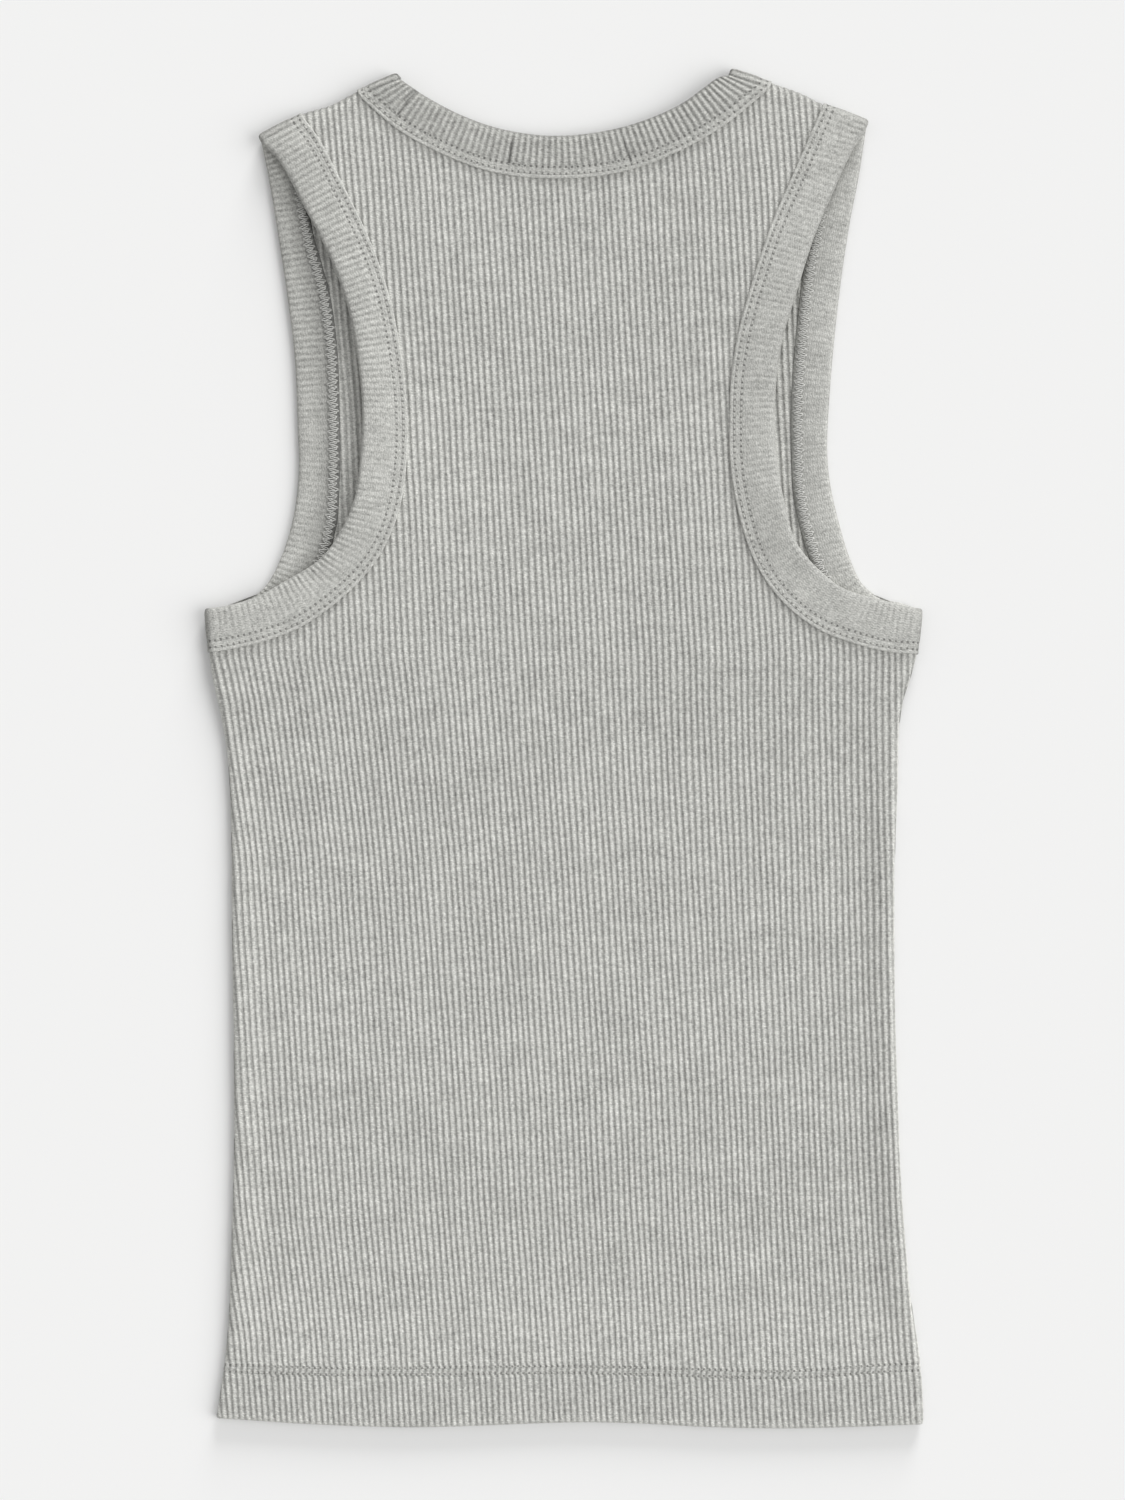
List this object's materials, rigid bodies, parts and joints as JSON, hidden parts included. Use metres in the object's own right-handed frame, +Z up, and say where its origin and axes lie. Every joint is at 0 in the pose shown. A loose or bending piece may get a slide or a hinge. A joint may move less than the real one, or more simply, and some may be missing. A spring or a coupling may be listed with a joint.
{
  "type": "tank top",
  "caption": "Sleeveless ribbed knit top with a racer back, bound neck and armholes and a turned-up hem, laid flat back up.",
  "frame": {"origin": "middle of the laid-out garment, on the surface that it lies on", "axes": "+Y from the hem towards the neck, +X to the right seen from above, +Z up, out of the back panel"},
  "size_m": [0.3442, 0.6514, 0.0084],
  "materials": {
    "rib_knit": "matt heather rib knit",
    "rib_binding": "matt heather rib knit, folded and stitched"
  },
  "bodies": {
    "root": {"back_panel": "rib_knit", "front_panel": "rib_knit", "neck_binding": "rib_binding", "left_armhole_binding": "rib_binding", "right_armhole_binding": "rib_binding"}
  },
  "joints": []
}
